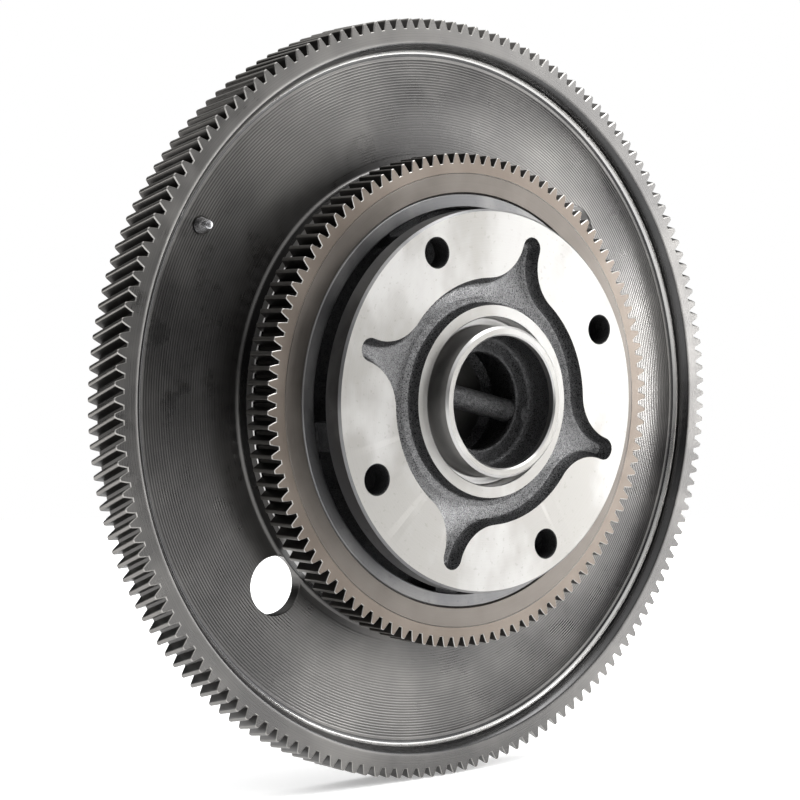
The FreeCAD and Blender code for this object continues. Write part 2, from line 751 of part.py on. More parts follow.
def make_index_pin():
    """Pin pressed through the web, with a cone that stands in the front dish."""
    pin = turned("index_pin", [
        (0.0, web_back),
        (size["pin_shank"], web_back),
        (size["pin_shank"], web_front),
        (size["pin_foot"], web_front),
        (size["pin_tip"], web_front - size["pin_height"]),
        (0.0, web_front - size["pin_height"]),
    ])
    return set_on_circle(pin, size["pin_circle"], size["pin_angle"])


# ---------------------------------------------------------------- the pieces


def check_document():
    for thing in doc.Objects:
        if "Invalid" in thing.State or "Error" in thing.State:
            raise RuntimeError(f"{thing.Name} failed: {thing.State}")


def write_pieces(pieces):
    os.makedirs("parts", exist_ok=True)
    for piece in pieces:
        shape = piece.Shape
        if shape.isNull() or not shape.isValid():
            raise RuntimeError(f"{piece.Label} has no valid shape")
        shape.exportStep(f"parts/{piece.Label}.step")
        box = shape.BoundBox
        spans = f"{box.XLength:.1f} x {box.YLength:.1f} x {box.ZLength:.1f} mm"
        print(f"{piece.Label}: {len(shape.Solids)} solids, {shape.Volume / 1000:.1f} cm3, {spans}")


parts = [
    make_disc(),
    make_starter_ring(),
    make_hub(),
    make_core_plug(),
    make_hub_screws(),
    make_lock_washers(),
    make_hub_dowels(),
    make_crank_dowel(),
    make_index_pin(),
]
doc.recompute()
check_document()
write_pieces(parts)
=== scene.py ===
# %% [markdown]
# # An engine flywheel
#
# The flywheel is a turned steel disc with helical teeth round its rim. A starter ring
# gear is shrunk onto the front of the disc, and a cast hub that drives the next machine
# is screwed into the middle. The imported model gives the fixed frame; here each turned and
# cast piece is modelled again with its chamfers, tool marks and cast corners.
#
# Everything is in metres. The crankshaft axis is Y and the front looks toward -Y.

import math

import bmesh
import bpy
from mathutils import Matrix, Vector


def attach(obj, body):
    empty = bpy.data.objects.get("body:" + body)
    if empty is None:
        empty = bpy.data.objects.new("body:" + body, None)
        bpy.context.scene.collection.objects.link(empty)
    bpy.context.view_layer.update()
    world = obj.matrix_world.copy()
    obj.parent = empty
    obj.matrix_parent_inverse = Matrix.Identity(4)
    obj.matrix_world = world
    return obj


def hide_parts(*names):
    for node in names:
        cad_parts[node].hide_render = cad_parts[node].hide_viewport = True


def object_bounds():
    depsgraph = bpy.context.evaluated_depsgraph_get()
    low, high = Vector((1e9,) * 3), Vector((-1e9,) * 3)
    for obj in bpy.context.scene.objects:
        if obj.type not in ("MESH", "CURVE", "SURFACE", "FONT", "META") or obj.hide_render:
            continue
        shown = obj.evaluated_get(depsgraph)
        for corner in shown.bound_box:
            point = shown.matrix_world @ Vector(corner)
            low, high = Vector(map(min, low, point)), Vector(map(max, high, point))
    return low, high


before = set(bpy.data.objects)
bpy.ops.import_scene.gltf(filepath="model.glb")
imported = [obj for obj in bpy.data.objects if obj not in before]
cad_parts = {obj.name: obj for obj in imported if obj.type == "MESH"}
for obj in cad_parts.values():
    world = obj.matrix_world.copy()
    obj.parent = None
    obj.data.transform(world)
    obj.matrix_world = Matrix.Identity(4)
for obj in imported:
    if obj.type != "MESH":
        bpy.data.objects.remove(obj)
cad_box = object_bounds()
print("CAD nodes:", sorted(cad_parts))


def in_mm(box):
    return [[round(value * 1000, 1) for value in corner] for corner in box]


print("CAD box in mm:", in_mm(cad_box))

# %% [markdown]
# ## The camera
#
# A long lens some 1.3 m away keeps the circles of the wheel almost parallel. The camera
# stands to the left of the axis and a little above it, and looks just left of the middle,
# so the wheel sits a little to the right in the picture.

# %% Camera
bpy.ops.object.select_all(action="DESELECT")
bpy.ops.object.camera_add(
    location=(-0.80086, -0.99454, 0.03726),
    rotation=(math.radians(88.288), 0, math.radians(-38.606)),
)
camera = bpy.context.object
camera.name = "studio_camera"
camera.data.sensor_width = 36
camera.data.lens = 96.98
bpy.context.scene.camera = camera
print("lens:", camera.data.lens, "mm")

# %% [markdown]
# ## Ways of working
#
# Nearly every surface of a flywheel is cut on a lathe, so one way of modelling serves for
# most of it: draw half of the section as a chain of points, soften its corners, and spin
# the chain about the axis. Drawing with extrude keeps each corner at a size from the
# workshop drawing. Scaling a cylinder ring by ring would give the same shape with far more
# steps. Sizes are written in millimetres, as on a drawing, and mm() turns them into metres.


# %% Helpers to start a piece and to select parts of it
WELD = 2e-6  # vertices closer than this, in metres, become one


def mm(value):
    return value / 1000


def polar(radius, degrees):
    """Place in the plane of the wheel, counterclockwise from +X as seen from the front."""
    angle = math.radians(degrees)
    return radius * math.cos(angle), radius * math.sin(angle)


def start_piece(name):
    """The primitive that was just added gets its name and its place in its mesh."""
    piece = bpy.context.object
    piece.name = name
    piece.data.name = name
    bpy.ops.object.transform_apply(location=True, rotation=True, scale=True)
    return piece


def only(piece):
    """Object mode, with this piece alone selected."""
    if bpy.context.mode != "OBJECT":
        bpy.ops.object.mode_set(mode="OBJECT")
    bpy.ops.object.select_all(action="DESELECT")
    piece.select_set(True)
    bpy.context.view_layer.objects.active = piece


def edit(piece):
    only(piece)
    bpy.ops.object.mode_set(mode="EDIT")


def pick(kind, test):
    """In edit mode, select the vertices, edges or faces that pass the test."""
    bpy.ops.mesh.select_all(action="DESELECT")
    modes = [kind == name for name in ("verts", "edges", "faces")]
    bpy.context.tool_settings.mesh_select_mode = modes
    mesh = bmesh.from_edit_mesh(bpy.context.object.data)
    found = [part for part in getattr(mesh, kind) if test(part)]
    for part in found:
        part.select = True
    mesh.select_flush_mode()
    bmesh.update_edit_mesh(bpy.context.object.data)
    return len(found)


def round_axis(point):
    """Distance of a point from the Y axis, in millimetres."""
    return math.hypot(point.x, point.z) * 1000


def middle(part):
    """Centre of an edge or a face."""
    places = [vertex.co for vertex in part.verts]
    return sum(places, start=places[0] * 0) / len(places)


def within(part, radii, depths=(-math.inf, math.inf)):
    """Whether the centre of an edge or a face lies between two radii and two values of y."""
    centre = middle(part)
    return radii[0] < round_axis(centre) < radii[1] and depths[0] < centre.y * 1000 < depths[1]


def open_edges(piece):
    """The number of edges of a piece that do not have a face on both sides."""
    edit(piece)
    found = pick("edges", lambda edge: not edge.is_manifold)
    only(piece)
    return found


# %% Helpers for turned pieces
def draw_chain(name, corners):
    """A vertex is drawn out from corner to corner; a corner is (x, y) in millimetres."""
    start_x, start_y = corners[0]
    bpy.ops.object.select_all(action="DESELECT")
    bpy.ops.mesh.primitive_plane_add(size=mm(1), location=(mm(start_x), mm(start_y), 0))
    piece = start_piece(name)
    edit(piece)
    bpy.ops.mesh.select_mode(type="VERT")
    bpy.ops.mesh.select_all(action="SELECT")
    bpy.ops.mesh.merge(type="CENTER")
    for before, after in zip(corners, corners[1:]):
        draw_out(after[0] - before[0], after[1] - before[1])
    return piece


def pick_corners(corners, reach):
    """Select the vertices of a chain that lie within reach millimetres of these corners."""
    return pick("verts", lambda v: any(
        math.dist((v.co.x * 1000, v.co.y * 1000), corner) < reach for corner in corners))


def close_chain(corners):
    """Join the last corner of a chain to its first."""
    pick_corners((corners[0], corners[-1]), 0.001)
    bpy.ops.mesh.edge_face_add()


def fill_chain(corners):
    """Close a chain and fill it with a face."""
    close_chain(corners)
    bpy.ops.mesh.select_all(action="SELECT")
    bpy.ops.mesh.edge_face_add()


def bevel(kind, size, segments=1):
    bpy.ops.mesh.bevel(affect=kind, offset=mm(size), segments=segments, clamp_overlap=False)


def soften(corners, size, segments=1):
    """Chamfer corners of the chain, or round them when there are more segments."""
    pick_corners(corners, 0.02)
    bevel("VERTICES", size, segments)


def tidy_mesh():
    """Weld what touches, drop what is loose and turn every face outward."""
    bpy.ops.mesh.select_all(action="SELECT")
    bpy.ops.mesh.remove_doubles(threshold=WELD)
    bpy.ops.mesh.delete_loose()
    bpy.ops.mesh.select_all(action="SELECT")
    bpy.ops.mesh.normals_make_consistent(inside=False)


def spin_round(steps):
    """Spin the whole chain about the Y axis and close it."""
    bpy.ops.mesh.select_mode(type="VERT")
    bpy.ops.mesh.select_all(action="SELECT")
    bpy.ops.mesh.spin(steps=steps, angle=2 * math.pi, center=(0, 0, 0), axis=(0, 1, 0))
    tidy_mesh()


def repeat_round(count):
    """Copy everything in the mesh round the Y axis, count times in all."""
    bpy.ops.mesh.select_all(action="SELECT")
    bpy.ops.mesh.spin(steps=count, angle=2 * math.pi, dupli=True, center=(0, 0, 0), axis=(0, 1, 0))
    bpy.ops.mesh.select_all(action="SELECT")
    bpy.ops.mesh.remove_doubles(threshold=WELD)


def turn_mesh(degrees, axis):
    """Turn the selected part of the mesh about an axis through the origin."""
    bpy.ops.transform.rotate(
        value=math.radians(degrees), orient_axis=axis, center_override=(0, 0, 0))


def shift_mesh(x=0, y=0, z=0):
    """Move the selected part of the mesh, in millimetres."""
    bpy.ops.transform.translate(value=(mm(x), mm(y), mm(z)))


def draw_out(x=0, y=0, z=0):
    """Extrude the selected part of the mesh, in millimetres."""
    bpy.ops.mesh.extrude_region_move(TRANSFORM_OT_translate={"value": (mm(x), mm(y), mm(z))})


def turned(name, corners, softened=(), steps=64):
    """A solid turned piece; softened lists (corners, size, segments)."""
    piece = draw_chain(name, corners)
    if corners[0][0] > 0:
        close_chain(corners)
    for places, size, segments in softened:
        soften(places, size, segments)
    spin_round(steps)
    return piece


# %% Helpers for holes and for handing a piece over to the frame
def move_to(radius, degrees):
    """Move the whole mesh from the axis to a place on a circle."""
    across, along = polar(radius, degrees)
    bpy.ops.mesh.select_all(action="SELECT")
    shift_mesh(x=across, z=along)


def combine(piece, tool, operation):
    """Cut the tool from the piece or weld it on, and throw the tool away."""
    only(piece)
    modifier = piece.modifiers.new(operation.lower(), "BOOLEAN")
    modifier.operation = operation
    modifier.object = tool
    modifier.solver = "EXACT"
    modifier.material_mode = "TRANSFER"
    bpy.ops.object.modifier_apply(modifier=modifier.name)
    bpy.data.objects.remove(tool)
    print(f"{operation.lower()}: {piece.name} has {len(piece.data.polygons)} faces")


def give_finish(piece, finish):
    """The whole piece gets this finish."""
    only(piece)
    piece.data.materials.append(finish)


def hole(piece, name, corners, radius, degrees, count, finish=None):
    """Cut a turned hole, and its copies round the axis, from a piece."""
    tool = turned(name, corners, steps=48)
    move_to(radius, degrees)
    if count > 1:
        repeat_round(count)
    if finish:
        give_finish(tool, finish)
    combine(piece, tool, "DIFFERENCE")


def paint(piece, finish, test):
    """Give the faces that pass the test a finish of their own."""
    if finish.name not in piece.data.materials:
        piece.data.materials.append(finish)
    edit(piece)
    found = pick("faces", test)
    piece.active_material_index = piece.data.materials.find(finish.name)
    bpy.ops.object.material_slot_assign()
    only(piece)
    print(f"{piece.name}: {found} faces of {finish.name}")


def hand_over(piece, slot, *nodes):
    """Smooth shading up to an angle, then the piece rides on the frame for its CAD nodes."""
    only(piece)
    bpy.ops.object.shade_smooth_by_angle(angle=math.radians(30))
    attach(piece, "root")
    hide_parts(*nodes)
    piece.data.calc_loop_triangles()
    print(f"{piece.name}: {len(piece.data.loop_triangles)} triangles")


# %% [markdown]
# ## Writing finishes
#
# A finish is a node tree, and most of it is arithmetic: a radius from x and z, a pattern of
# rings, a mask. Wire lets that arithmetic be written as it is thought, so a + b adds a
# Math node. Nodes.node makes every other node, with its settings first and then its
# sockets. The sky is a node tree too, and is written in the same way.


# %% Wire, Nodes and Finish
class Wire:
    """A number that flows out of a node; sums on it add Math nodes."""

    def __init__(self, nodes, socket):
        self.nodes = nodes
        self.socket = socket

    def join(self, operation, *values):
        return self.nodes.node("ShaderNodeMath", {"operation": operation}, values)

    def __add__(self, other):
        return self.join("ADD", self, other)

    def __mul__(self, other):
        return self.join("MULTIPLY", self, other)

    def __sub__(self, other):
        return self.join("SUBTRACT", self, other)

    def __truediv__(self, other):
        return self.join("DIVIDE", self, other)

    def __rsub__(self, other):
        return self.join("SUBTRACT", other, self)

    def __rtruediv__(self, other):
        return self.join("DIVIDE", other, self)

    __radd__ = __add__
    __rmul__ = __mul__

    def power(self, exponent):
        return self.join("POWER", self, exponent)

    def fraction(self):
        return self.join("FRACT", self)

    def between(self, low, high):
        """0 below low, 1 above high, and a smooth rise between them."""
        settings = {"interpolation_type": "SMOOTHSTEP"}
        sockets = {"Value": self, "From Min": low, "From Max": high}
        return self.nodes.node("ShaderNodeMapRange", settings, sockets)


class Nodes:
    """A node tree to write on."""

    def __init__(self, tree):
        self.tree = tree

    def node(self, kind, settings=None, sockets=(), output=0):
        made = self.tree.nodes.new(kind)
        for name, value in (settings or {}).items():
            setattr(made, name, value)
        pairs = sockets.items() if isinstance(sockets, dict) else enumerate(sockets)
        for name, value in pairs:
            if isinstance(value, Wire):
                self.tree.links.new(value.socket, made.inputs[name])
            else:
                made.inputs[name].default_value = value
        return Wire(self, made.outputs[output])


class Finish(Nodes):
    """A material with one Principled shader."""

    def __init__(self, name, **constants):
        self.material = bpy.data.materials.new(name)
        self.material.use_nodes = True
        super().__init__(self.material.node_tree)
        self.shader = self.tree.nodes["Principled BSDF"]
        for socket, value in constants.items():
            self.shader.inputs[socket.replace("_", " ")].default_value = value
        self.place = self.node("ShaderNodeTexCoord", output="Object")
        across, along = (
            self.node("ShaderNodeSeparateXYZ", sockets=[self.place], output=axis) for axis in "XZ")
        self.radius = (across * across + along * along).power(0.5) * 1000

    def cloud(self, scale, detail=3.0, roughness=0.55, stretch=(1, 1, 1)):
        """Noise from 0 to 1; scale is the number of blotches in a metre."""
        place = self.node("ShaderNodeMapping", sockets={"Vector": self.place, "Scale": stretch})
        sockets = {"Vector": place, "Scale": scale, "Detail": detail, "Roughness": roughness}
        return self.node("ShaderNodeTexNoise", sockets=sockets)

    def rings(self, pitch):
        """Uneven rings round the Y axis, some pitch millimetres apart."""
        sockets = {"W": self.radius / pitch, "Scale": 1.0, "Detail": 2.0, "Roughness": 0.7}
        return self.node("ShaderNodeTexNoise", {"noise_dimensions": "1D"}, sockets)

    def blend(self, share, first, second):
        """A colour between two colours."""
        first, second = (c if isinstance(c, Wire) else (*c, 1) for c in (first, second))
        settings = {"data_type": "RGBA", "clamp_factor": True}
        return self.node("ShaderNodeMix", settings, {0: share, 6: first, 7: second}, output=2)

    def give(self, **wires):
        """Link the wires to the shader's sockets and hand back the material."""
        for name, wire in wires.items():
            self.tree.links.new(wire.socket, self.shader.inputs[name.replace("_", " ")])
        return self.material

    def bump(self, height, depth):
        """Surface relief: height from 0 to 1, depth in millimetres."""
        sockets = {"Height": height, "Strength": 1.0, "Distance": mm(depth)}
        return self.node("ShaderNodeBump", sockets=sockets)


# %% [markdown]
# ## Turned steel
#
# The disc is dark, slightly oily steel. A lathe tool leaves fine rings whose depth and
# shine vary a little with every pass, and handling leaves cloudy stains on top. Rings that
# depend only on the radius give the first, a low cloud gives the second. Both change the
# colour and the roughness, and the rings also move the surface a few micrometres. On the
# web, painted shade darkens the bottom of each tool ring and the part near the middle,
# where the hub and the starter ring stand in front of it.

# %% Finish of turned steel
# colour of the painted shade in the tool rings and on the inner web
WEB_SHADE_COLOUR = (0.008, 0.008, 0.009)


def turned_steel(name, dark, light, rough, pitch, relief, stain=0.5, shade_share=None):
    """Rings of this pitch and relief in millimetres; the last argument gives the share of painted
    shade.
    """
    finish = Finish(name, Metallic=1.0)
    rings = finish.rings(pitch)
    stains = finish.cloud(9, 4, 0.6).between(0.35, 0.68)
    share = rings * (1 - stain) + stains * stain
    colour = finish.blend(share, dark, light)
    if shade_share:
        colour = finish.blend(shade_share(finish), colour, WEB_SHADE_COLOUR)
    grease = finish.cloud(38, 3, 0.65).between(0.5, 0.72)
    roughness = rings * 0.14 + stains * 0.10 - grease * 0.07 + (rough - 0.10)
    return finish.give(Base_Color=colour, Roughness=roughness, Normal=finish.bump(rings, relief))


# %% Finishes of the disc
SHOULDER = 137.0  # radius of the step that the web runs up to
WEB_RIM, GROOVE_PITCH = 197.6, 1.55  # radius of the first tool ring, and the way to the next


def painted_web_shade(finish):
    """Share of painted shade: at the bottom of each tool ring of the web, and all over its inner
    part.
    """
    ring = ((WEB_RIM - finish.radius) / GROOVE_PITCH).fraction()
    valley = ring.between(0.0, 0.3) * (1 - ring.between(0.4, 0.75))
    past_shoulder = finish.radius.between(SHOULDER - 1, SHOULDER + 1)
    past_rings = finish.radius.between(WEB_RIM - 0.2, WEB_RIM + 0.1)
    inner = 1 - finish.radius.between(138, 168)
    # painted shade: in the valleys of the tool rings, and on the inner web where the hub stands in
    # front
    tone = valley * finish.radius.between(140, 185) * 0.62 + inner * 0.45
    return past_shoulder * (1 - past_rings) * tone


disc_steel = turned_steel(
    "disc_steel", (0.062, 0.061, 0.062), (0.215, 0.208, 0.198), 0.31, 0.42, 0.020, shade_share=painted_web_shade)
# light finishes for the shoulder band and the cove: painted highlights
shoulder_highlight_steel = turned_steel(
    "shoulder_highlight_steel", (0.34, 0.335, 0.33), (0.50, 0.495, 0.485), 0.32, 0.5, 0.004, 0.3)
cove_highlight_steel = turned_steel(
    "cove_highlight_steel", (0.30, 0.295, 0.29), (0.46, 0.455, 0.445), 0.26, 0.5, 0.004, 0.3)
# dark finish for walls and faces in the shade: painted shade
shaded_wall_steel = turned_steel(
    "shaded_wall_steel", (0.035, 0.035, 0.036), (0.08, 0.079, 0.078), 0.26, 0.5, 0.004)
back_steel = turned_steel(
    "back_steel", (0.30, 0.30, 0.30), (0.50, 0.49, 0.48), 0.34, 0.35, 0.006)
turned_finishes = (disc_steel, shoulder_highlight_steel, cove_highlight_steel, shaded_wall_steel, back_steel)
print("finishes:", [material.name for material in turned_finishes])

# %% [markdown]
# ## Toothed steel
#
# The hobbed flanks get a dark finish as painted shade in the tooth gaps. The corners
# of each tooth are broken with a file or a brush, and get lighter finishes as painted
# highlights. They are separate finishes on separate faces, so their border stays sharp.


# %% Finishes of the teeth
def hobbed_steel(name, dark, light, rough):
    finish = Finish(name, Metallic=1.0)
    scallops = finish.cloud(260, 2, 0.5, (1, 0.25, 1))
    tone = finish.cloud(46, 3, 0.6)
    colour = finish.blend(scallops * 0.5 + tone * 0.5, dark, light)
    roughness = tone * 0.22 + (rough - 0.11)
    return finish.give(Base_Color=colour, Roughness=roughness, Normal=finish.bump(scallops, 0.012))


# dark finish of the flanks: painted shade in the tooth gaps
shaded_flank_steel = hobbed_steel("shaded_flank_steel", (0.03, 0.029, 0.028), (0.10, 0.095, 0.09), 0.36)
land_steel = hobbed_steel("land_steel", (0.12, 0.115, 0.108), (0.27, 0.26, 0.245), 0.40)
# lighter finishes of the broken corners: painted highlights
soft_edge_highlight = hobbed_steel("soft_edge_highlight", (0.20, 0.195, 0.19), (0.42, 0.41, 0.39), 0.34)
strong_edge_highlight = hobbed_steel("strong_edge_highlight", (0.26, 0.25, 0.24), (0.48, 0.47, 0.45), 0.34)
tooth_finishes = (shaded_flank_steel, land_steel, soft_edge_highlight, strong_edge_highlight)
print("finishes:", [material.name for material in tooth_finishes])

# %% [markdown]
# ## The rim teeth
#
# The rim carries helical teeth. One tooth is modelled and repeated: its outline is drawn,
# filled, and extruded along the axis while it turns a little, which makes the helix. Its
# end corners and tip corners are bevelled as the deburring brush leaves them. Cutting the
# gaps with booleans would cost far more faces and leave worse corners.

# %% Tooth shape
TOOTH_MODULE = 2.5
PRESSURE = math.radians(20)
HELIX = math.radians(18.6)


def involute(angle):
    return math.tan(angle) - angle


def tooth_corners(teeth, module, pressure):
    """(radius, half angle in degrees) up one flank, from the root to the tip."""
    pitch = teeth * module / 2
    corners = []
    for height in (-1.25, -0.5, 0.35, 1):
        radius = pitch + height * TOOTH_MODULE
        roll = math.acos(min(pitch * math.cos(pressure) / radius, 1))
        half = math.pi / (2 * teeth) + involute(pressure) - involute(roll)
        corners.append((radius, math.degrees(half)))
    return corners


def tooth_outline(teeth, corners, inner):
    """Places in the plane of the wheel round one tooth and the rim under it."""
    half_pitch = 180 / teeth
    places = [polar(corners[0][0], -half_pitch)]
    places += [polar(radius, -half) for radius, half in corners]
    places += [polar(radius, half) for radius, half in reversed(corners)]
    places.append(polar(corners[0][0], half_pitch))
    places += [polar(inner, half_pitch * share) for share in (1, 0, -1)]
    return places


# %% One pitch of a toothed rim, extruded and bevelled
def lean(point, front, back, twist):
    """Angle of a point, in degrees, once the helix is taken out."""
    share = (point.y * 1000 - front) / (back - front)
    return math.degrees(math.atan2(point.z, point.x)) - twist * share


def toothed_pitch(name, teeth, corners, inner, front, back, twist, steps):
    """One tooth and the rim under it, open at the sides where its neighbours follow."""
    outline = tooth_outline(teeth, corners, inner)
    piece = draw_chain(name, outline)
    fill_chain(outline)
    turn_mesh(-90, "X")
    shift_mesh(y=front)
    for _ in range(steps):
        draw_out(y=(back - front) / steps)
        turn_mesh(twist / steps, "Y")
    edge_of_pitch = 180 / teeth - 0.01
    pick("faces", lambda face: all(
        abs(lean(v.co, front, back, twist)) > edge_of_pitch for v in face.verts))
    bpy.ops.mesh.delete(type="FACE")
    bpy.ops.mesh.select_all(action="SELECT")
    bpy.ops.mesh.normals_make_consistent(inside=False)
    return piece


def ends_at(edge, depths):
    """Whether an edge lies flat at one of these values of y, in millimetres."""
    return any(all(abs(v.co.y - mm(depth)) < 1e-6 for v in edge.verts) for depth in depths)


def break_edges(corners, inner, front, back, tip_size, end_size):
    """Round the corners along the tip and bevel both ends of the tooth and of a bore."""
    root, tip = corners[0][0] - 0.1, corners[-1][0] - 0.05
    has_bore = inner < root - 5

    def on_end(edge):
        radii = [round_axis(v.co) for v in edge.verts]
        on_bore = has_bore and max(radii) < inner + 0.1
        return ends_at(edge, (front, back)) and (min(radii) > root or on_bore)

    pick("edges", lambda edge: all(round_axis(v.co) > tip for v in edge.verts)
         and abs(edge.verts[0].co.y - edge.verts[1].co.y) > mm(1))
    bevel("EDGES", tip_size, 3)
    pick("edges", on_end)
    bevel("EDGES", end_size)


# %% Finishes over one tooth
ALONG, ACROSS = 0.42, 0.93  # how far the normals of flanks and of end faces lean to the axis


def paint_tooth(piece, body_finish, corner_highlight, corners, tip_size):
    """Ends, flanks in painted shade, land with its round corners, and broken ends with a painted
    highlight get their own finishes.
    """
    flank_foot, land_foot = corners[0][0] - 0.6, corners[-1][0] - tip_size
    give_finish(piece, body_finish)
    for finish, foot in ((shaded_flank_steel, flank_foot), (land_steel, land_foot)):
        paint(piece, finish, lambda face: abs(face.normal.y) < ALONG
              and round_axis(middle(face)) > foot)
    paint(piece, corner_highlight, lambda face: ALONG <= abs(face.normal.y) < ACROSS)


# %% All teeth of the rim
RIM_TEETH, RIM_PITCH_RADIUS = 165, 217.62
RIM_FRONT, RIM_BACK = -30.0, -2.5
RIM_FOOT = 210  # the toothed part is modelled down to this radius
RIM_TIP, RIM_END = 0.7, 0.5
RIM_TWIST = math.degrees((RIM_BACK - RIM_FRONT) * math.tan(HELIX) / RIM_PITCH_RADIUS)

across_module = TOOTH_MODULE / math.cos(HELIX)
across_pressure = math.atan(math.tan(PRESSURE) / math.cos(HELIX))
rim_corners = tooth_corners(RIM_TEETH, across_module, across_pressure)
print("rim tooth, radius and half angle:", [(round(r, 2), round(a, 3)) for r, a in rim_corners])

rim = toothed_pitch("flywheel_disc_piece", RIM_TEETH, rim_corners, RIM_FOOT,
                    RIM_FRONT, RIM_BACK, RIM_TWIST, 3)
pick("faces", lambda face: all(round_axis(v.co) < RIM_FOOT + 0.1 for v in face.verts))
bpy.ops.mesh.delete(type="FACE")
break_edges(rim_corners, RIM_FOOT, RIM_FRONT, RIM_BACK, RIM_TIP, RIM_END)
paint_tooth(rim, disc_steel, soft_edge_highlight, rim_corners, RIM_TIP)
edit(rim)
repeat_round(RIM_TEETH)
only(rim)
print("rim teeth:", len(rim.data.polygons), "faces")

# %% [markdown]
# ## The turned disc
#
# The rest of the disc is one turned section. The front of the web keeps coarse tool rings:
# each is a shallow valley in the section itself, deep near the rim and almost gone near the
# starter ring, so they catch the light as real ones do. The coves at the foot of the dish
# walls are corners of the chain, rounded before it is spun. The spun disc has two vertices
# for every rim tooth, so its open edges bridge to the toothed rim without a gap.

# %% Tool rings of the web
WEB_FRONT, WEB_BACK = -21.3, -13.3
RINGS_END = 140.6  # radius where the tool rings stop
DEEPER_FROM = 148  # radius from which they get deeper towards the rim
SHALLOW, DEEP = 0.04, 0.26

web_rings = []
ring_count = int((WEB_RIM - RINGS_END) / GROOVE_PITCH)
for ring in range(ring_count):
    ridge = WEB_RIM - ring * GROOVE_PITCH
    outward = max(0.0, (ridge - DEEPER_FROM) / (WEB_RIM - DEEPER_FROM))
    depth = SHALLOW + (DEEP - SHALLOW) * outward
    web_rings += [(ridge, WEB_FRONT), (ridge - GROOVE_PITCH * 0.35, WEB_FRONT + depth)]
print("web rings:", ring_count)

# %% Section of the disc
RIM_INSIDE, DISH_WALL, DISH_EDGE, DISH_FOOT = 208, 202.9, 205.7, -25.3
RING_BORE, RING_FRONT, RING_BACK = 129.7, -55.6, -35.1
SHOULDER_BREAK = -29.6  # where the finish of the shoulder changes
HUB_BORE, HUB_BACK, PILOT = 118.6, -25, 50
CRANK_RIM, CRANK_STEP, REAR_DISH, REAR_WALL = 94, -3, 127, 203

disc_section = [
    (RIM_INSIDE, RIM_FRONT), (DISH_EDGE, RIM_FRONT), (DISH_WALL, DISH_FOOT),
    (DISH_WALL, WEB_FRONT), *web_rings, (SHOULDER, WEB_FRONT), (SHOULDER, SHOULDER_BREAK),
    (SHOULDER, RING_BACK), (RING_BORE, RING_BACK), (RING_BORE, RING_FRONT),
    (HUB_BORE, RING_FRONT), (HUB_BORE, HUB_BACK), (PILOT, HUB_BACK), (PILOT, 0),
    (CRANK_RIM, 0), (CRANK_RIM, CRANK_STEP), (REAR_DISH, CRANK_STEP), (REAR_DISH, WEB_BACK),
    (REAR_WALL, WEB_BACK), (REAR_WALL, RIM_BACK), (RIM_INSIDE, RIM_BACK),
]
disc = draw_chain("disc_turned", disc_section)
soften([(DISH_WALL, WEB_FRONT)], 3.99, 7)
soften([(SHOULDER, WEB_FRONT)], 2.5, 4)
soften([(REAR_DISH, WEB_BACK), (REAR_WALL, WEB_BACK)], 6, 6)
soften([(DISH_EDGE, RIM_FRONT), (SHOULDER, RING_BACK), (HUB_BORE, RING_FRONT),
        (REAR_WALL, RIM_BACK), (CRANK_RIM, 0)], 0.5)
soften([(RING_BORE, RING_FRONT)], 0.25)
soften([(PILOT, 0), (REAR_DISH, CRANK_STEP)], 1.0)
spin_round(2 * RIM_TEETH)
print("section of", len(disc_section), "corners")

# %% Join the disc to its teeth
give_finish(disc, disc_steel)
rim.select_set(True)
bpy.context.view_layer.objects.active = rim
bpy.ops.object.join()
edit(rim)
for end in (RIM_FRONT, RIM_BACK):
    pick("edges", lambda edge: edge.is_boundary and ends_at(edge, (end,)))
    bpy.ops.mesh.bridge_edge_loops()
tidy_mesh()
print("disc with teeth:", open_edges(rim), "open edges")

# %% [markdown]
# ## Holes in the disc
#
# A hole is made as a drill makes it: a turned tool with the drill's own section, flared
# where the countersink breaks the edge, is set on its circle, repeated, and cut away. Eight
# tapped holes take the crankshaft bolts, six stepped ones the screws of the hub.

# %% Cut the holes
WEB_HOLE_PLACE, PIN_PLACE = (151, 222.1), (187.3, 149)  # a place is a radius and an angle
SCREW_PLACE, HUB_DOWEL_PLACE = (105, 20), (105, 50)
CRANK_BOLT_PLACE, CRANK_DOWEL_PLACE = (70, 0), (70, 22.5)
PRESS_HOLE = 6.03  # radius of the holes for 12 mm dowels
PIN_RECESS = 5.5

hole(rim, "web_hole_tool", [
    (0, -22.6), (18.3, -22.6), (16.5, -20.8), (16.5, -13.8), (17.5, -12.8), (0, -12.8),
], *WEB_HOLE_PLACE, 2)
hole(rim, "pin_hole_tool", [
    (0, -22.6), (PIN_RECESS, -22.6), (PIN_RECESS, -20.8), (4.05, -20.8), (4.05, -12.8), (0, -12.8),
], *PIN_PLACE, 1)
hole(rim, "crank_bolt_tool", [(0, -22), (7, -22), (7, -1.2), (9, 0.8), (0, 0.8)],
     *CRANK_BOLT_PLACE, 8)
hole(rim, "crank_dowel_tool", [
    (0, -16), (PRESS_HOLE, -16), (PRESS_HOLE, -0.5), (7.3, 0.8), (0, 0.8),
], *CRANK_DOWEL_PLACE, 1)
hole(rim, "screw_tool", [
    (0, -26), (6.6, -26), (6.6, -17), (10, -17), (10, -3.8), (11.4, -2.4), (0, -2.4),
], *SCREW_PLACE, 6)
hole(rim, "hub_dowel_tool", [(0, -26), (PRESS_HOLE, -26), (PRESS_HOLE, -13), (0, -13)],
     *HUB_DOWEL_PLACE, 2)
print("after drilling:", open_edges(rim), "open edges")

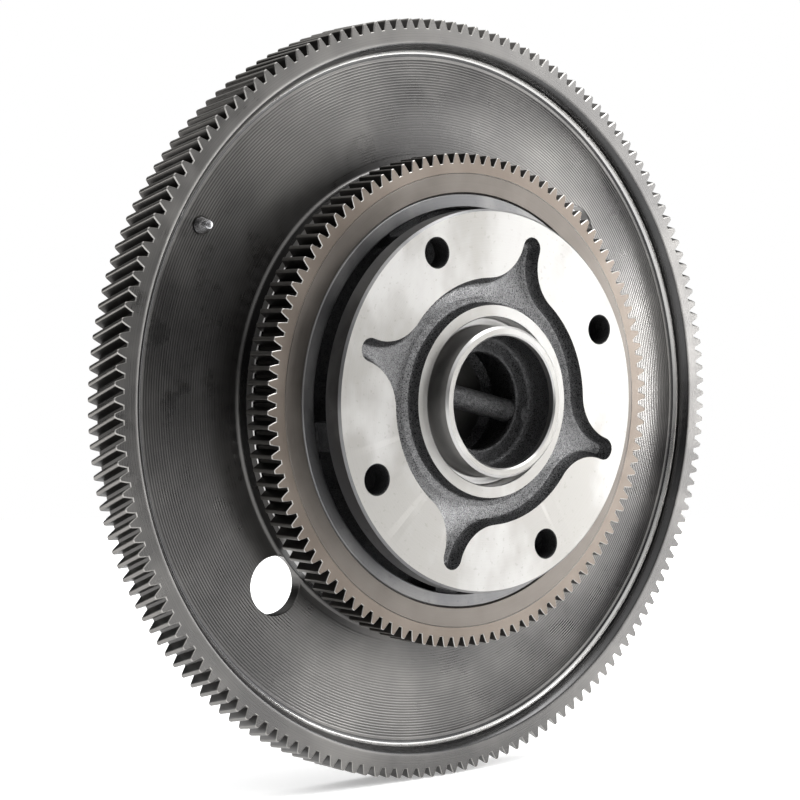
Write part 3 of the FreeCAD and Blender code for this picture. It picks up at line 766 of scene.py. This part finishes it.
# %% Finishes on the disc
# Painted shade: the dark wall finish on the shoulder wall and on the face behind the starter ring.
paint(rim, shaded_wall_steel, lambda face: within(face, (SHOULDER - 0.2, SHOULDER + 0.2), (-29.7, -23))
      or within(face, (129, SHOULDER), (RING_BACK - 0.05, RING_BACK + 0.05)))
# Painted highlight: a light finish on the shoulder band beside the starter ring.
paint(rim, shoulder_highlight_steel, lambda face: within(
    face, (SHOULDER - 0.6, SHOULDER + 0.2), (RING_BACK + 0.05, -29.7)))
# Painted shade: the dark wall finish on the dish wall below the rim.
paint(rim, shaded_wall_steel, lambda face: within(face, (198.8, DISH_EDGE + 0.2), (-29.9, -17.3)))
# Painted highlight: a light finish on the cove at the foot of the dish wall.
paint(rim, cove_highlight_steel, lambda face: within(face, (199, 203), (-25, -21))
      and 0.38 < -face.normal.y < 0.9)


def in_pin_recess(face):
    centre = middle(face)
    from_pin = math.dist((centre.x * 1000, centre.z * 1000), polar(*PIN_PLACE))
    return -21.2 < centre.y * 1000 < -20.5 and from_pin < PIN_RECESS + 0.1


# The counterbore round the pin gets the dark flank finish as painted shade.
paint(rim, shaded_flank_steel, in_pin_recess)
paint(rim, back_steel, lambda face: within(face, (13, 209), (-14, math.inf))
      and face.normal.y > 0.3)
hand_over(rim, "turned_steel", "flywheel_disc")


# %% Keep the tool rings crisp
def is_tool_ring(edge):
    """Edges that run round the web, on the ridges and in the valleys of the tool rings."""
    radii = [round_axis(v.co) for v in edge.verts]
    on_web = all(WEB_FRONT - 0.01 < v.co.y * 1000 < WEB_FRONT + 0.2 for v in edge.verts)
    in_rings = min(radii) > 139.8 and max(radii) < WEB_RIM + 0.2
    return on_web and in_rings and abs(radii[0] - radii[1]) < 0.02


edit(rim)
sharp_rings = pick("edges", is_tool_ring)
bpy.ops.mesh.mark_sharp()
only(rim)
print("sharp ring edges:", sharp_rings)

# %% [markdown]
# ## The starter ring gear
#
# The starter pinion slides in from the front, so this ring has straight teeth. It is heated,
# dropped over the seat of the disc and shrinks tight, which leaves a straw-brown tint and a
# fine circle where ring and disc meet. It is made like the rim, with its bore kept and both
# corners of the bore broken, so that the joint shows as a fine groove.


# %% Finish of the ring
def tinted_steel(name, dark, light, rough):
    finish = Finish(name, Metallic=1.0)
    rings = finish.rings(0.6)
    heat = finish.cloud(14, 4, 0.6).between(0.3, 0.7)
    colour = finish.blend(rings * 0.35 + heat * 0.65, dark, light)
    roughness = rings * 0.12 + heat * 0.10 + (rough - 0.11)
    return finish.give(Base_Color=colour, Roughness=roughness, Normal=finish.bump(rings, 0.008))


ring_steel = tinted_steel("ring_steel", (0.105, 0.087, 0.073), (0.195, 0.168, 0.145), 0.40)
seat_steel = tinted_steel("seat_steel", (0.085, 0.076, 0.068), (0.165, 0.149, 0.134), 0.37)
print("finishes:", [material.name for material in (ring_steel, seat_steel)])

# %% Ring with its teeth
RING_TEETH, RING_BREAK = 111, 0.35

ring_corners = tooth_corners(RING_TEETH, TOOTH_MODULE, PRESSURE)
ring = toothed_pitch("starter_ring_gear_piece", RING_TEETH, ring_corners, RING_BORE,
                     RING_FRONT, RING_BACK, 0, 1)
break_edges(ring_corners, RING_BORE, RING_FRONT, RING_BACK, RING_BREAK, RING_BREAK)
paint_tooth(ring, ring_steel, strong_edge_highlight, ring_corners, RING_BREAK)
edit(ring)
repeat_round(RING_TEETH)
print("starter ring:", open_edges(ring), "open edges")
hand_over(ring, "heat_tinted_steel", "starter_ring_gear")
paint(rim, seat_steel, lambda face: within(face, (118, 130), (RING_FRONT - 0.4, RING_FRONT + 0.7)))

# %% [markdown]
# ## The cast hub
#
# The output hub is an iron casting. What mates with other parts is machined bright: the
# flange face, the ring and spigot in the middle, the collar. The rest keeps its cast skin.
# The hub is turned first as if it had no recess. Seven finishes are made for it. A cutting
# tool can bring the finish of the faces that it leaves, and the other faces are painted.


# %% Finishes of the hub
def machined_iron(name, dark, light, rough, pitch):
    finish = Finish(name, Metallic=1.0)
    rings = finish.rings(pitch)
    wash = finish.cloud(17, 4, 0.6, (1, 1, 0.6)).between(0.42, 0.60)
    specks = finish.cloud(420, 2, 0.6).between(0.62, 0.72)
    colour = finish.blend(rings * 0.3 + wash * 0.6 - specks * 0.15, dark, light)
    roughness = rings * 0.08 + wash * 0.10 + specks * 0.1 + (rough - 0.09)
    return finish.give(Base_Color=colour, Roughness=roughness, Normal=finish.bump(rings, 0.003))


def cast_iron(name, dark, light, rough, relief):
    """Grains of sand from the mould, with broader swells under them."""
    finish = Finish(name, Metallic=0.85)
    grains = finish.cloud(1300, 2, 0.6).between(0.36, 0.64)
    swells = finish.cloud(380, 2, 0.5).between(0.32, 0.68)
    relief_share = grains * 0.7 + swells * 0.3
    colour = finish.blend(relief_share, dark, light)
    return finish.give(Base_Color=colour, Roughness=grains * 0.25 + (rough - 0.12),
                       Normal=finish.bump(relief_share, relief))


face_iron = machined_iron(
    "face_iron", (0.255, 0.247, 0.232), (0.41, 0.405, 0.397), 0.44, 0.5)
# machined spigot iron, painted lighter than the flange face as painted light
lit_spigot_iron = machined_iron(
    "lit_spigot_iron", (0.32, 0.315, 0.31), (0.50, 0.495, 0.485), 0.36, 0.35)
side_iron = machined_iron("side_iron", (0.11, 0.11, 0.113), (0.22, 0.217, 0.214), 0.40, 0.5)
recess_iron = cast_iron("recess_iron", (0.085, 0.085, 0.087), (0.25, 0.25, 0.252), 0.35, 0.18)
# darker cast finish for walls in the shade: painted shade
shaded_wall_iron = cast_iron("shaded_wall_iron", (0.022, 0.022, 0.023), (0.085, 0.085, 0.087), 0.33, 0.18)
core_iron = cast_iron("core_iron", (0.03, 0.03, 0.031), (0.15, 0.15, 0.152), 0.46, 0.35)
# darkest cast finish for gaps and holes: painted shade
shaded_gap_iron = cast_iron("shaded_gap_iron", (0.012, 0.012, 0.013), (0.05, 0.05, 0.051), 0.55, 0.35)
machined_finishes = (face_iron, lit_spigot_iron, side_iron)
cast_finishes = (recess_iron, shaded_wall_iron, core_iron, shaded_gap_iron)
print("finishes:", [material.name for material in machined_finishes + cast_finishes])

# %% Turn the hub
COLLAR, COLLAR_BORE, COLLAR_FRONT, COLLAR_FLOOR = 118.35, 110.4, -55.5, -41
NECK, FLANGE, FLANGE_BACK, FLANGE_FACE = 80, 108.7, -62.8, -75.6
RING_FACE, GROOVE_WALL, GROOVE_FLOOR = -76, 47.8, -65.6
SPIGOT, SPIGOT_BORE, SPIGOT_FACE = 42.7, 37.4, -86.4
HUB_STEPS = 288

hub_section = [
    (28, HUB_BACK), (COLLAR, HUB_BACK), (COLLAR, COLLAR_FRONT), (COLLAR_BORE, COLLAR_FRONT),
    (COLLAR_BORE, COLLAR_FLOOR), (NECK, COLLAR_FLOOR), (NECK, FLANGE_BACK),
    (FLANGE, FLANGE_BACK), (FLANGE, FLANGE_FACE), (55.05, FLANGE_FACE), (54.8, RING_FACE),
    (GROOVE_WALL, RING_FACE), (GROOVE_WALL, GROOVE_FLOOR), (SPIGOT, GROOVE_FLOOR),
    (SPIGOT, SPIGOT_FACE), (SPIGOT_BORE, SPIGOT_FACE), (SPIGOT_BORE, -81.9), (38.6, -80.9),
    (38.6, -68.4), (36.6, -64.4), (27.7, -64.4), (27.7, -60.4), (33, -56.4), (33, -37), (28, -33),
]
hub = turned("output_hub_piece", hub_section, [
    ([(FLANGE, FLANGE_FACE)], 1.3, 1),
    ([(FLANGE, FLANGE_BACK), (COLLAR_BORE, COLLAR_FRONT), (COLLAR, COLLAR_FRONT),
      (COLLAR, HUB_BACK)], 0.7, 1),
    ([(GROOVE_WALL, RING_FACE)], 0.5, 1),
    ([(SPIGOT, SPIGOT_FACE)], 1.4, 1),
    ([(SPIGOT_BORE, SPIGOT_FACE)], 0.9, 1),
    ([(GROOVE_WALL, GROOVE_FLOOR), (SPIGOT, GROOVE_FLOOR)], 1.2, 4),
    ([(NECK, COLLAR_FLOOR), (NECK, FLANGE_BACK)], 4, 5),
    ([(COLLAR_BORE, COLLAR_FLOOR)], 2, 3),
    ([(27.7, -64.4), (36.6, -64.4)], 1.6, 4),
], HUB_STEPS)
give_finish(hub, core_iron)
print("hub turned:", len(hub.data.polygons), "faces")

# %% [markdown]
# ## The recess in the flange
#
# The recess is left as cast: a round dish with four points that run out between the bolt
# holes, with leaning walls and a rounded foot. Its outline is arcs that run into one another,
# so a vertex is spun about the centre of each arc in turn, a quarter of the outline at a
# time. The filled outline is then inset step by step while it sinks, which gives walls of the
# same slope all round. The solid that comes out is the foundry's core, and it is cut away
# from the hub except for a plug that leaves the ring round the spigot standing.

# %% Quarter outline of the recess, point along +X
VALLEY, REACH, TIP_ROUND, FLANK_ROUND = 70.0, 91.9, 6.5, 27.0
RECESS_TURN = 71.2  # angle of the first point

flank_reach = VALLEY + FLANK_ROUND
flank_turn = math.degrees(math.acos(
    (flank_reach ** 2 + REACH ** 2 - (FLANK_ROUND + TIP_ROUND) ** 2) / (2 * flank_reach * REACH)))
flank_centre = polar(flank_reach, -flank_turn)
into_point = math.degrees(math.atan2(-flank_centre[1], REACH - flank_centre[0]))
flank_sweep = 180 - flank_turn - into_point
print(f"flanks: {flank_turn:.2f} degrees beside the point, sweep {flank_sweep:.1f} degrees")

start = polar(VALLEY, -45)
core = draw_chain("recess_core", [start])


def draw_arc(centre, degrees, steps):
    """Spin the last vertex about a centre; positive is counterclockwise in the XY plane."""
    bpy.ops.mesh.spin(
        steps=steps, angle=-math.radians(degrees), axis=(0, 0, 1), use_auto_merge=False,
        center=(mm(centre[0]), mm(centre[1]), 0))


draw_arc((0, 0), 45 - flank_turn, 10)
draw_arc(flank_centre, -flank_sweep, 14)
draw_arc((REACH, 0), 2 * (180 - into_point), 18)
draw_arc((flank_centre[0], -flank_centre[1]), -flank_sweep, 14)
draw_arc((0, 0), 45 - flank_turn, 10)
bpy.ops.mesh.select_all(action="SELECT")
turn_mesh(-90, "X")
shift_mesh(y=FLANGE_FACE - 1)
turn_mesh(RECESS_TURN, "Y")
repeat_round(4)
print("outline:", len(bmesh.from_edit_mesh(core.data).verts), "vertices")

# %% Sink the outline into the foundry's core
bpy.ops.mesh.select_all(action="SELECT")
bpy.ops.mesh.edge_face_add()
bpy.ops.mesh.normals_make_consistent(inside=False)
draw_out(y=1)
for inward, deeper in ((0.9, 3.2), (0.7, 1.7), (0.8, 1.3), (0.9, 0.9), (1.0, 0.6), (1.0, 0.3)):
    bpy.ops.mesh.inset(thickness=mm(inward), depth=0, use_even_offset=True)
    shift_mesh(y=deeper)
tidy_mesh()
give_finish(core, recess_iron)
depths = [v.co.y * 1000 for v in core.data.vertices]
print(f"core from {min(depths):.1f} to {max(depths):.1f}, {open_edges(core)} open edges")

# %% Keep the ring round the spigot, then cut the recess
ring_plug = turned("ring_plug", [
    (0, -78), (54.2, -78), (55.4, -70.4), (56.4, -69.0), (57.7, -68.1), (59.6, -67.7),
    (60.6, -67.0), (0, -67.0),
], steps=HUB_STEPS)
give_finish(ring_plug, recess_iron)
combine(core, ring_plug, "DIFFERENCE")
combine(hub, core, "DIFFERENCE")

# %% [markdown]
# ## Lugs, bar and holes of the hub
#
# Five cast lugs stiffen the flange behind its edge and reach into the collar, and a round
# bar crosses the cored bore. A lug is drawn as an L that also fills the corner of the
# collar, extruded to its thickness and bevelled; the bar is turned with its swelling ends.
# Both are welded on with booleans and bring the cast skin with them. The four bolt holes
# have a small countersink in the machined face.

# %% Lugs
LUG_THICKNESS, LUG_ROUND = 16, 1.8
LUG_TURN = 117.5  # angle of the first lug

lug_section = [(101.5, -63.4), (108.0, -63.4), (108.0, -54.3), (111.9, -54.3), (111.9, -40.2),
               (101.5, -40.2)]
lug = draw_chain("hub_lugs", lug_section)
fill_chain(lug_section)
shift_mesh(z=-LUG_THICKNESS / 2)
draw_out(z=LUG_THICKNESS)
bpy.ops.mesh.select_all(action="SELECT")
bpy.ops.mesh.normals_make_consistent(inside=False)
pick("edges", lambda edge: abs(edge.verts[0].co.y - edge.verts[1].co.y) > mm(15)
     and middle(edge).x < mm(103))
bpy.ops.mesh.bevel(offset=mm(LUG_ROUND), segments=3)
bpy.ops.mesh.select_all(action="SELECT")
turn_mesh(LUG_TURN, "Y")
repeat_round(5)
give_finish(lug, core_iron)
combine(hub, lug, "UNION")

# %% Bar across the bore
BAR_SLOPE, BAR_DEPTH = 13, -56.4

bar = turned("cross_bar", [
    (0, -34.5), (9.5, -34.5), (7.6, -31.5), (6.8, -28), (6.6, -24),
    (6.6, 24), (6.8, 28), (7.6, 31.5), (9.5, 34.5), (0, 34.5),
], steps=32)
bpy.ops.mesh.select_all(action="SELECT")
turn_mesh(90, "Z")
turn_mesh(-BAR_SLOPE, "Y")
shift_mesh(y=BAR_DEPTH)
give_finish(bar, core_iron)
combine(hub, bar, "UNION")

# %% Holes
FLANGE_BOLT_PLACE = (92.5, 26.2)

# The walls of the bolt holes take the darkest finish from the tool, as painted shade.
hole(hub, "flange_bolt_tool", [
    (0, -77), (10.25, -77), (8.25, -75), (8.25, -63.2), (9.2, -62), (0, -62),
], *FLANGE_BOLT_PLACE, 4, shaded_gap_iron)
hole(hub, "thread_tool", [(0, -39), (6.1, -39), (6.1, -24), (0, -24)], *SCREW_PLACE, 6)
hole(hub, "dowel_tool", [(0, -37), (PRESS_HOLE, -37), (PRESS_HOLE, -24), (0, -24)],
     *HUB_DOWEL_PLACE, 2)
edit(hub)
tidy_mesh()
print("hub:", open_edges(hub), "open edges")


# %% Finishes on the hub
def faces_front_at(face, depth):
    return abs(middle(face).y * 1000 - depth) < 0.05 and face.normal.y < -0.99


def on_spigot(face):
    """The spigot and the groove round it, without the cored bore behind the chamfer."""
    in_bore = within(face, (0, 39), (-81.5, math.inf))
    ring_face = faces_front_at(face, RING_FACE)
    return within(face, (37.2, 48), (-86.3, -65)) and not in_bore and not ring_face


def on_side(face):
    """The edge of the flange, and the outside and front of the collar."""
    flange_edge = within(face, (FLANGE - 0.8, math.inf), (FLANGE_FACE - 0.1, -62.9))
    collar = within(face, (COLLAR_BORE - 0.2, math.inf), (COLLAR_FRONT - 0.1, HUB_BACK))
    return flange_edge or collar and face.normal.y < 0.5


paint(hub, face_iron, lambda face: faces_front_at(face, FLANGE_FACE)
      or faces_front_at(face, RING_FACE)
      or within(face, (0, math.inf), (SPIGOT_FACE - 0.05, SPIGOT_FACE + 0.05)))
# The spigot and its groove are machined, and are painted lighter than the flange face as painted
# light.
paint(hub, lit_spigot_iron, on_spigot)
recess_slot = hub.data.materials.find("recess_iron")
core_slot = hub.data.materials.find("core_iron")
# Painted shade: the dark wall finish in the bore behind the spigot and on the leaning walls of the
# recess.
paint(hub, shaded_wall_iron, lambda face: face.material_index == core_slot and within(face, (27.2, 39)))
paint(hub, shaded_wall_iron, lambda face: face.material_index == recess_slot
      and abs(face.normal.y) < 0.8)
# Painted shade: the darkest finish in the gap under the flange.
paint(hub, shaded_gap_iron, lambda face: within(face, (NECK - 0.5, math.inf), (-62.9, -40)))
paint(hub, side_iron, on_side)
hand_over(hub, "hub_iron", "output_hub")

# %% [markdown]
# ## The index pin
#
# A hard taper pin stands in the web near the rim, in a small counterbore. It is the smallest
# piece in view and shines, so its tip gets a true chamfer and its finish stays plain.

# %% Index pin
PIN_TIP, PIN_FRONT, PIN_SHANK = 2.3, -29.7, 4

pin_steel = turned_steel(
    "pin_steel", (0.26, 0.26, 0.27), (0.46, 0.46, 0.47), 0.20, 0.2, 0.001, 0.2)
pin = turned("index_pin_piece", [
    (0, WEB_BACK), (PIN_SHANK, WEB_BACK), (PIN_SHANK, WEB_FRONT), (4.8, WEB_FRONT),
    (PIN_TIP, PIN_FRONT), (0, PIN_FRONT),
], [([(PIN_TIP, PIN_FRONT), (PIN_SHANK, WEB_BACK)], 0.5, 2)], steps=40)
move_to(*PIN_PLACE)
give_finish(pin, pin_steel)
hand_over(pin, "ground_steel", "index_pin")

# %% [markdown]
# ## Fasteners and plugs at the back
#
# The screws are blackened, the washers zinc plated, the dowels ground, and the pressed plug
# has dulled. These pieces came from the frame with the right shapes, so they stay as they
# are and only get a finish. Modelling them again would add nothing that shows.

# %% Finishes of the carried-over pieces
screw_black = turned_steel(
    "screw_black", (0.035, 0.035, 0.037), (0.10, 0.10, 0.105), 0.42, 0.5, 0.004, 0.4)
plate_zinc = turned_steel(
    "plate_zinc", (0.40, 0.39, 0.36), (0.62, 0.60, 0.54), 0.36, 1.5, 0.004, 0.7)
plug_steel = turned_steel(
    "plug_steel", (0.05, 0.05, 0.048), (0.15, 0.148, 0.14), 0.40, 1.5, 0.004, 0.7)
carried_over = {
    "hub_screws": screw_black, "lock_washers": plate_zinc, "core_plug": plug_steel,
    "hub_dowels": pin_steel, "crank_dowel": pin_steel,
}
for node, finish in carried_over.items():
    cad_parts[node].data.materials.clear()
    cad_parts[node].data.materials.append(finish)
    print(node, "->", finish.name)

# %% [markdown]
# ## Floor and light
#
# A white studio: the wheel stands on a pale floor that runs out into white. Metal shows what
# it reflects, so the lamps are soft boxes that stand where each part of the wheel mirrors
# them. The sky glows from above, which lights the tops of the teeth and the upper web, and
# is nearly dark elsewhere. A large box at the front right lights the machined faces, three
# panels close to the right side light the edges that face there, and one dim panel stands
# at the left, so the web falls off to dark there.

# %% World
SKY_AIM = (0.0, -0.2, 1.0)
SKY_GLOW, SKY_REST = 1.6, 0.05

world = bpy.data.worlds.new("studio_world")
world.use_nodes = True
bpy.context.scene.world = world
bpy.context.scene.view_settings.view_transform = "Standard"

sky = Nodes(world.node_tree)
direction = sky.node("ShaderNodeTexCoord", output="Generated")
aim = [value / math.hypot(*SKY_AIM) for value in SKY_AIM]
upward = sky.node("ShaderNodeVectorMath", {"operation": "DOT_PRODUCT"}, [direction, aim], "Value")
glow = upward.between(0.2, 0.9) * SKY_GLOW + SKY_REST
seen = sky.node("ShaderNodeLightPath", output="Is Camera Ray")
strength = sky.node("ShaderNodeMix", sockets={0: seen, 2: glow, 3: 1.0})
background = world.node_tree.nodes["Background"]
world.node_tree.links.new(strength.socket, background.inputs["Strength"])
background.inputs["Color"].default_value = (1, 1, 1, 1)
print("world nodes:", len(world.node_tree.nodes))


# %% Lamps
def softbox(name, place, size, power):
    """A square area light that looks at the middle of the wheel."""
    bpy.ops.object.select_all(action="DESELECT")
    bpy.ops.object.light_add(type="AREA", location=place)
    lamp = bpy.context.object
    lamp.name = name
    lamp.data.size = size
    lamp.data.energy = power
    lamp.visible_camera = False
    away = lamp.location.normalized()
    lamp.rotation_euler = away.to_track_quat("Z", "Y").to_euler()
    print(f"{name}: {power} W over {size} m")


softbox("right_panel", (0.70, -0.36, 0.06), 0.75, 2.7)
softbox("edge_panel", (0.85, -0.70, 0.26), 0.5, 0.9)
softbox("low_panel", (0.95, -0.24, 0.04), 0.3, 7)
softbox("left_panel", (-1.4, -0.7, -0.1), 0.5, 0.8)
softbox("key_softbox", (1.9, -1.35, 0.35), 1.1, 10)
softbox("top_softbox", (0.35, -0.45, 1.0), 0.5, 7)

# %% Floor
FLOOR_RADIUS, FLOOR_MIDDLE = 1.8, 0.6  # metres; the middle is a face of its own
FLOOR_GAP = 0.0003

bpy.ops.object.select_all(action="DESELECT")
bpy.ops.mesh.primitive_circle_add(
    vertices=96, radius=FLOOR_RADIUS, fill_type="NGON", location=(0, 0, cad_box[0].z - FLOOR_GAP))
floor = start_piece("studio_floor")
edit(floor)
bpy.ops.mesh.select_all(action="SELECT")
bpy.ops.mesh.inset(thickness=FLOOR_RADIUS - FLOOR_MIDDLE)
only(floor)
floor_finish = Finish(
    "floor_white", Base_Color=(0.9, 0.9, 0.9, 1), Roughness=0.9, Emission_Strength=1.0)
outward = (floor_finish.radius / 1000).between(0.2, 0.8)
floor_finish.give(Emission_Color=floor_finish.blend(outward, (0.35, 0.35, 0.35), (1, 1, 1)))
floor.data.materials.append(floor_finish.material)
print("floor at", round(cad_box[0].z - FLOOR_GAP, 4), "m")
